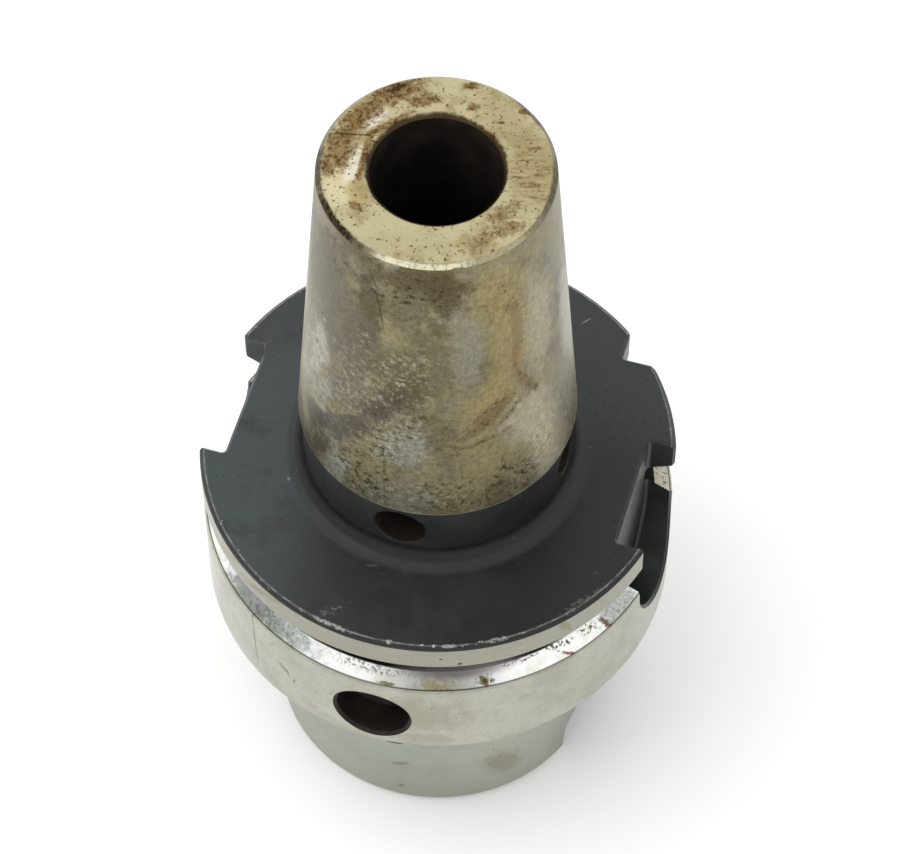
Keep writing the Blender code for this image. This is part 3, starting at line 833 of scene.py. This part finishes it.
    # Painted highlight: a pale line along the foot's lower edge.
    painted_foot_highlight = ramp(tree, height, FOOT_Z + 0.3, FOOT_Z + 0.1)
    colour = over(tree, colour, "#B9B7A6", maths(tree, painted_foot_highlight, 0.5))
    tree.links.new(colour, shader.inputs["Base Color"])
    tree.links.new(ramp(tree, fine, 0.35, 0.65, 0.32, 0.48), shader.inputs["Roughness"])
    relief(tree, shader, fine, 0.4, 0.015)


def oxide_finish():
    """Black oxide on hardened steel: thin blue-black coat, worn along the edge, dusty in places. Painted
    light makes it lighter at the left and back and darker at the right, and painted shade darkens the
    fillet by the neck.
    """
    coat = {"Metallic": 0.0, "Roughness": 0.38, "IOR": 1.45}
    tree, shader, place = start_finish("oxide", "black_oxide_steel", **coat)
    ragged = tear(tree, place, 1.6, 0.8)
    fine = grain(tree, place, 0.7, 8.0, 0.8)
    speck = grain(tree, place, 0.6, 4.0, 0.6)
    cloud = grain(tree, place, 6.0, 10.0, 0.7)
    x, y, height = node(tree, "ShaderNodeSeparateXYZ", {0: place}).outputs
    radius = from_axis(tree, place)
    mask = stamp(tree, place, ragged, on_face, FLANGE_Z, 0.8, 0.4, 0.8)
    off_fillet = ramp(tree, radius, NECK_R + 1.6, NECK_R + 3.0)
    colour = over(tree, "#222625", "#292A29", ramp(tree, cloud, 0.42, 0.60))
    # Painted light: the coat is darker towards the right and lighter towards the left and the back.
    colour = over(tree, colour, "#0F1212", ramp(tree, x, 6.0, 20.0, 0.0, 0.8))
    painted_light_left = maths(tree, off_fillet, ramp(tree, x, -6.0, -20.0, 0.0, 0.9))
    colour = over(tree, colour, "#3A4343", painted_light_left)
    colour = over(tree, colour, "#303030", maths(tree, painted_light_left, ramp(tree, cloud, 0.50, 0.62, 0.0, 0.8)))
    back = maths(tree, off_fillet, ramp(tree, y, 0.0, 16.0, 0.0, 0.9))
    colour = over(tree, colour, "#2E3232", back)
    # Painted shade: near black in the fillet at the foot of the neck, which narrows the fillet's
    # highlight to a thin ring.
    near_neck = ramp(tree, radius, NECK_R + 1.5, NECK_R + 1.0)
    painted_fillet_shade = maths(tree, near_neck, ramp(tree, height, FLANGE_Z + 3, FLANGE_Z + 2))
    colour = over(tree, colour, "#050606", painted_fillet_shade)
    scratches = maths(tree, mask(-6.0, -28.6, 30, 1.6, 0.7, 0.8, 0.4, 1.0), ramp(tree, fine, 0.50, 0.58))
    pinched = maths(tree, mask(24.6, -18.1, 54, 3.2, 0.45, 0.8, 0.4, 0.4), ramp(tree, fine, 0.47, 0.55))
    scuffs = most(tree, [
        maths(tree, scratches, 0.8),
        pinched,
        mask(13.7, 24.4, 52, 0.7, 0.12, 0.4, 0.4, 0.8),
        mask(-17.2, -10.9, -69, 0.3, 0.2, 0.6, 0.4, 0.7),
        mask(-3.0, -20.6, 10, 0.8, 0.12, 1.0, 0.4, 0.3),
    ])
    colour = over(tree, colour, "#787A74", scuffs)
    dots = maths(tree, ramp(tree, speck, 0.58, 0.64), mask(21.5, 6.5, -70, 9.0, 5.0, 0.8, 0.5, 1.0))
    colour = over(tree, colour, "#0B0C0C", dots)
    colour = over(tree, colour, "#0D0F0F", ramp(tree, speck, 0.335, 0.30, 0.0, 0.9))
    colour = over(tree, colour, "#565A55", ramp(tree, speck, 0.67, 0.71, 0.0, 0.35))
    past_edge = maths(tree, radius, FLANGE_R - TOP_CHAMFER, "SUBTRACT")
    from_edge = node(tree, "ShaderNodeMath", {0: past_edge}, operation="ABSOLUTE").outputs[0]
    at_top = ramp(tree, height, FLANGE_Z - 0.6, FLANGE_Z - 0.3)
    colour = over(tree, colour, "#17150F", maths(tree, ramp(tree, past_edge, 0.1, 0.3), at_top))
    near_edge = maths(tree, ramp(tree, from_edge, 0.04, 0.14, 1.0, 0.0), at_top)
    rubbed = ramp(tree, ragged, 0.3, 0.8, 0.12, 0.7)
    colour = over(tree, colour, "#8B8D88", maths(tree, near_edge, rubbed))
    bare = most(tree, [
        mask(2.5, -30.8, 5, 0.4, 0.3, 0.6, 0.4, 0.7),
        mask(10.0, -29.3, 19, 0.8, 0.2, 1.0, 0.4, 0.5),
        mask(15.8, -26.6, 31, 1.3, 0.35, 1.0, 0.4, 0.5),
        mask(-5.4, -30.4, -10, 2.2, 0.4, 1.0, 0.4, 0.5),
    ])
    flecks = most(tree, [
        maths(tree, bare, ramp(tree, fine, 0.44, 0.52)),
        ramp(tree, speck, 0.645, 0.69, 0.0, 0.8),
    ])
    along_edge = maths(tree, ramp(tree, from_edge, 0.15, 0.35, 1.0, 0.0), at_top)
    flecks = maths(tree, along_edge, flecks)
    colour = over(tree, colour, "#BEBFB9", flecks)
    tree.links.new(colour, shader.inputs["Base Color"])
    tree.links.new(ramp(tree, cloud, 0.35, 0.7, 0.34, 0.46), shader.inputs["Roughness"])
    relief(tree, shader, fine, 0.35, 0.012)


def rim_finish():
    """Hot-work steel, ground on the flange's rings: pale, faintly stained and scratched round, with
    painted light on the lower ring's left side.
    """
    tree, shader, place = start_finish("rim", "ground_ring_steel", Metallic=1.0, Roughness=0.3)
    ragged = tear(tree, place, 1.6, 0.8)
    speck = grain(tree, place, 0.6, 5.0, 0.65)
    cloud = grain(tree, place, 5.0, 10.0, 0.72)
    brushed = grain(tree, place, 0.25, 3.0, 0.6, (14, 14, 1))
    height = node(tree, "ShaderNodeSeparateXYZ", {0: place}).outputs[2]
    mask = stamp(tree, place, ragged, on_round, flange_r, 1.0, 0.35, 0.8)
    colour = over(tree, "#AEAEA2", "#A09F92", ramp(tree, cloud, 0.40, 0.64))
    upper = ramp(tree, height, GROOVE_Z + 1, GROOVE_Z + 2, 0.0, 0.8)
    colour = over(tree, colour, "#8F8E80", upper)
    colour = over(tree, colour, "#6F6B55", ramp(tree, brushed, 0.60, 0.76, 0.0, 0.35))
    colour = over(tree, colour, "#D2D1C4", ramp(tree, brushed, 0.40, 0.26, 0.0, 0.25))
    silver, drab, brown, tan, dark = "#BFBFB5", "#959380", "#6E674F", "#847B5A", "#453E2D"
    patches = [
        # The wide silver at the far left of the lower ring is painted light: that side is made lighter.
        (silver, (-75, 40.0, 0, 12.0, 9.0, 1.0, 0.6, 0.9)),
        (brown, (-34.4, 41.5, 88, 6.5, 0.16, 0.4, 0.5, 0.8)),
        (brown, (-24.5, 40.2, 35, 0.9, 0.35, 2.4, 0.5, 0.8)),
        (brown, (-23.0, 39.4, 70, 0.8, 0.15, 1.4, 0.4, 0.8)),
        (brown, (-21, 38.6, -80, 0.7, 0.15, 1.6, 0.4, 0.8)),
        (drab, (-27.5, 44.2, -60, 1.2, 0.3, 2.0, 0.5, 0.6)),
        (drab, (8, 40.5, 0, 8.0, 4.4, 1.4, 0.5, 0.8)),
        (drab, (11, 34.6, 0, 4.2, 1.2, 1.6, 0.4, 0.5)),
        (silver, (-4, 36.2, -10, 5.0, 2.0, 1.4, 0.5, 0.4)),
        (tan, (47.6, 56.2, 60, 1.8, 0.5, 1.4, 0.4, 0.8)),
        (tan, (-30, 56.2, -14, 4.6, 0.5, 1.8, 0.5, 0.7)),
        (tan, (-44, 55.6, -30, 3.6, 0.6, 1.8, 0.5, 0.7)),
        (brown, (-33, 55.2, -20, 2.6, 0.2, 1.8, 0.5, 0.7)),
        (dark, (21.5, 54.2, 0, 0.28, 0.28, 0.6, 0.3, 0.95)),
        (dark, (17.0, 55.6, 0, 0.2, 0.2, 0.6, 0.3, 0.9)),
    ]
    for tint, spot in patches:
        colour = over(tree, colour, tint, mask(*spot))
    colour = over(tree, colour, "#5C553C", ramp(tree, speck, 0.64, 0.69, 0.0, 0.8))
    tree.links.new(colour, shader.inputs["Base Color"])
    tree.links.new(ramp(tree, ragged, 0.0, 1.0, 0.24, 0.36), shader.inputs["Roughness"])


def groove_finish():
    """Hot-work steel, the groove's lower flank ground bright: specks of corrosion, black at its root,
    with painted shade in front and a painted grey reflection.
    """
    tree, shader, place = start_finish("groove", "polished_groove_steel", Metallic=1.0, Roughness=0.14)
    ragged = tear(tree, place, 1.2, 0.8)
    speck = grain(tree, place, 0.42, 6.0, 0.7)
    cloud = grain(tree, place, 4.0, 8.0, 0.7)
    _, y, height = node(tree, "ShaderNodeSeparateXYZ", {0: place}).outputs
    root_z = 48.02  # the flank is black from here to its root: painted shade in front, black oxide from the keyways back
    line_z = 46.85  # top of the thin dark line along its outer edge

    def flank_r(level):
        """Radius of the lower flank at a height."""
        return FLANGE_R - (level - (GROOVE_Z - GROOVE_HALF_MOUTH)) / SLOPE_30

    mask = stamp(tree, place, ragged, on_round, flank_r, 1.0, 0.35, 0.85)
    colour = over(tree, "#FFFFFC", "#EDEDE6", ramp(tree, cloud, 0.46, 0.62))
    mist, grey, ochre, moss, rust = "#AEB4AF", "#8C8F8D", "#D3C48C", "#857F3C", "#744A29"
    patches = [
        (mist, (-27, 47.2, 0, 5.4, 2.4, 1.4, 0.6, 0.95)),
        (grey, (-38, 47.2, 0, 5.0, 2.6, 1.4, 0.5, 0.9)),
        (mist, (68, 47.3, 0, 3.4, 2.0, 1.0, 0.5, 0.9)),
        (ochre, (16, 47.0, 0, 1.9, 0.5, 2.2, 0.6, 0.75)),
        (ochre, (27.4, 47.2, 0, 0.8, 0.3, 2.2, 0.5, 0.7)),
        (moss, (3.6, 46.95, 0, 1.3, 0.12, 1.6, 0.3, 0.9)),
        (rust, (27.4, 47.15, 30, 0.6, 0.2, 2.4, 0.4, 0.8)),
        (rust, (62.4, 47.2, 50, 0.7, 0.35, 2.4, 0.4, 0.9)),
        (rust, (49.9, 47.0, 20, 1.0, 0.15, 2.2, 0.4, 0.9)),
    ]
    for tint, spot in patches:
        colour = over(tree, colour, tint, mask(*spot))
    pitted = most(tree, [
        mask(57.5, 47.7, 6, 1.2, 0.4, 1.2, 0.4, 1.0),
        mask(48.1, 47.9, 6, 2.0, 0.3, 1.2, 0.4, 1.0),
        mask(37, 47.95, 0, 3.0, 0.2, 1.0, 0.4, 0.9),
        mask(28, 47.2, 0, 1.2, 0.4, 1.0, 0.4, 0.9),
        mask(17.3, 46.8, 0, 1.6, 0.3, 1.0, 0.4, 0.7),
        mask(-1, 47.8, 0, 5.0, 0.4, 1.0, 0.4, 0.7),
        mask(-9, 47.6, 0, 3.0, 0.3, 1.6, 0.4, 0.3),
        mask(-30, 47.3, 0, 4.6, 1.6, 1.0, 0.4, 0.5),
        mask(67, 47.4, 0, 3.6, 1.2, 1.0, 0.4, 0.35),
    ])
    colour = over(tree, colour, "#3C331C", maths(tree, pitted, ramp(tree, speck, 0.50, 0.56)))
    rear = ramp(tree, y, -4.0, 0.0)
    colour = over(tree, colour, "#A8A290", maths(tree, rear, ramp(tree, ragged, 0.2, 0.9, 1.0, 0.75)))
    colour = over(tree, colour, "#4F4838", maths(tree, rear, ramp(tree, speck, 0.55, 0.61)))
    # Painted shade: in front, the black at the flank's root stands in for the shade under the upper ring;
    # from the keyways back it is black oxide.
    shaded = most(tree, [ramp(tree, y, -14.0, -21.0), rear])
    root = maths(tree, ramp(tree, height, root_z - 0.06, root_z + 0.06), shaded)
    colour = over(tree, colour, "#14140F", root)
    # Painted reflection: a purple-grey patch near the root at the front widens the grey card's
    # reflection.
    painted_grey_reflection = mask(22, 48.0, 0, 7.0, 0.5, 0.3, 0.6, 0.8)
    colour = over(tree, colour, "#8A8486", painted_grey_reflection)
    colour = over(tree, colour, "#4A4936", ramp(tree, height, line_z + 0.03, line_z - 0.03, 0.0, 0.85))
    tree.links.new(colour, shader.inputs["Base Color"])


def taper_finish():
    """Hot-work steel, taper and faces fine ground: satin grey, a few stains and finger marks."""
    tree, shader, place = start_finish("taper", "ground_taper_steel", Metallic=1.0, Roughness=0.36)
    ragged = tear(tree, place, 2.0, 0.8)
    speck = grain(tree, place, 0.7, 5.0, 0.65)
    cloud = grain(tree, place, 5.0, 10.0, 0.72)
    brushed = grain(tree, place, 0.25, 3.0, 0.6, (18, 18, 1))
    height = node(tree, "ShaderNodeSeparateXYZ", {0: place}).outputs[2]
    mask = stamp(tree, place, ragged, on_round, taper_r, 1.0, 0.4, 0.8)
    tone_z = 11.0  # below this height the tone is a little warmer
    colour = over(tree, "#A0A196", "#A0A49A", ramp(tree, height, tone_z - 0.2, tone_z + 0.2))
    colour = over(tree, colour, "#929285", ramp(tree, cloud, 0.44, 0.68, 0.0, 0.5))
    pale, drab, brown = "#AEAEA2", "#8C8979", "#67634D"
    patches = [
        (pale, (45, 15.0, 80, 14.0, 9.0, 1.0, 0.8, 0.9)),
        (drab, (39, 9.0, 60, 3.6, 2.4, 1.2, 0.5, 0.8)),
        (brown, (3, 10.8, -30, 1.4, 0.5, 1.4, 0.4, 0.5)),
        (brown, (3, 3.8, -40, 0.6, 0.25, 1.0, 0.4, 0.8)),
        (drab, (24, 11.4, 4, 7.0, 0.1, 0.3, 0.5, 0.5)),
        (pale, (-27, 4.0, 0, 7.0, 5.0, 1.0, 0.5, 0.4)),
    ]
    for tint, spot in patches:
        colour = over(tree, colour, tint, mask(*spot))
    colour = over(tree, colour, "#6E6B59", ramp(tree, brushed, 0.60, 0.76, 0.0, 0.3))
    colour = over(tree, colour, "#5A543F", ramp(tree, speck, 0.65, 0.70, 0.0, 0.7))
    tree.links.new(colour, shader.inputs["Base Color"])


def inside_finish():
    """Blackened steel in the bores, the holes and the shank, oily and dull, where nothing was ground."""
    coat = {"Metallic": 0.0, "Roughness": 0.5, "IOR": 1.45}
    tree, shader, place = start_finish("inside", "dark_bore_steel", **coat)
    shader.inputs["Specular IOR Level"].default_value = 0.2
    cloud = grain(tree, place, 4.0, 5.0)
    colour = over(tree, "#1E1A17", "#2B2722", ramp(tree, cloud, 0.4, 0.65))
    tree.links.new(colour, shader.inputs["Base Color"])


nose_finish()
cone_finish()
oxide_finish()
rim_finish()
groove_finish()
taper_finish()
inside_finish()

# Studio
# A white room with a pale floor. One soft lamp high at the left draws the faint shadow, and a grey
# card behind and above the camera, soft at its edge, gives polished steel something to reflect.
FLOOR_HALF = 4.0
floor_mesh = bpy.data.meshes.new("studio_floor")
signs = ((-1, -1), (1, -1), (1, 1), (-1, 1))
corners = [(FLOOR_HALF * across, FLOOR_HALF * deep, 0) for across, deep in signs]
floor_mesh.from_pydata(corners, [], [(0, 1, 2, 3)])
floor = make_object("studio_floor", floor_mesh)
floor_paint = bpy.data.materials.new("matte_floor_paint")
floor_paint.use_nodes = True
floor_shader = floor_paint.node_tree.nodes["Principled BSDF"]
floor_shader.inputs["Base Color"].default_value = linear("#FCFCFC")
floor_shader.inputs["Roughness"].default_value = 1.0
floor_shader.inputs["Specular IOR Level"].default_value = 0.0
floor_mesh.materials.append(floor_paint)

world = bpy.data.worlds.new("white_room")
bpy.context.scene.world = world
world.use_nodes = True
room = world.node_tree
room.nodes.clear()
rays = node(room, "ShaderNodeLightPath")
SEEN_WHITE = 1.0  # strength of the white in the picture and in reflections
LIGHT_WHITE = 1.05  # strength of the white as it lights things
kinds = ("Is Camera Ray", "Is Glossy Ray", "Is Transmission Ray")
seen = most(room, [rays.outputs[kind] for kind in kinds])
strength = spread(room, seen, 0.0, 1.0, LIGHT_WHITE, SEEN_WHITE)
white = node(room, "ShaderNodeBackground", {"Color": (1, 1, 1, 1), "Strength": strength})
node(room, "ShaderNodeOutputWorld", {"Surface": white.outputs[0]})


def face_origin(thing, spot):
    """Puts a thing at a spot in metres, its front towards the origin."""
    thing.location = spot
    thing.rotation_euler = (-thing.location).to_track_quat("-Z", "Y").to_euler()


lamp_data = bpy.data.lights.new("soft_lamp", "AREA")
lamp_data.size = 0.7
lamp_data.energy = 2.8
lamp = make_object("soft_lamp", lamp_data)
face_origin(lamp, (-0.40, -0.20, 0.80))
lamp.visible_glossy = False

CARD_R = 0.24
CARD_CORE_R = 0.09  # full grey as far as this, then fading to the edge
CARD_STEPS = 64
card_mesh = bpy.data.meshes.new("grey_card")
angle = np.linspace(0, 2 * math.pi, CARD_STEPS, endpoint=False)
edge = np.stack([CARD_R * np.cos(angle), CARD_R * np.sin(angle), 0 * angle], -1)
card_mesh.from_pydata(edge.tolist(), [], [list(range(CARD_STEPS))])
card = make_object("grey_card", card_mesh)
face_origin(card, (0.084, -0.283, 0.63))
card.visible_camera = False
card.visible_diffuse = False
card.visible_shadow = False
card_paint = bpy.data.materials.new("grey_card_paint")
card_paint.use_nodes = True
paint = card_paint.node_tree
paint.nodes.clear()
on_card = node(paint, "ShaderNodeTexCoord")
from_centre = length(paint, on_card.outputs["Object"])
cover = ramp(paint, from_centre, CARD_CORE_R, CARD_R, 1.0, 0.0)
clear = node(paint, "ShaderNodeBsdfTransparent")
grey = node(paint, "ShaderNodeEmission", {"Color": linear("#A8A8A6"), "Strength": 1.0})
soft_edge = node(paint, "ShaderNodeMixShader", {0: cover, 1: clear.outputs[0], 2: grey.outputs[0]})
node(paint, "ShaderNodeOutputMaterial", {"Surface": soft_edge.outputs[0]})
card_mesh.materials.append(card_paint)

# Camera
# A long lens, high in front and a little to the right, so that the keyways show at both sides.
eye_data = bpy.data.cameras.new("camera")
eye_data.sensor_width = 36.0
eye_data.lens = 150.2
eye_data.clip_start = 0.01
eye = make_object("camera", eye_data)
eye.location = (0.0772, -0.2589, 0.4738)
eye.rotation_euler = Vector((-0.1536, 0.5264, -0.8363)).to_track_quat("-Z", "Y").to_euler()
bpy.context.scene.camera = eye
bpy.context.scene.view_settings.view_transform = "Standard"
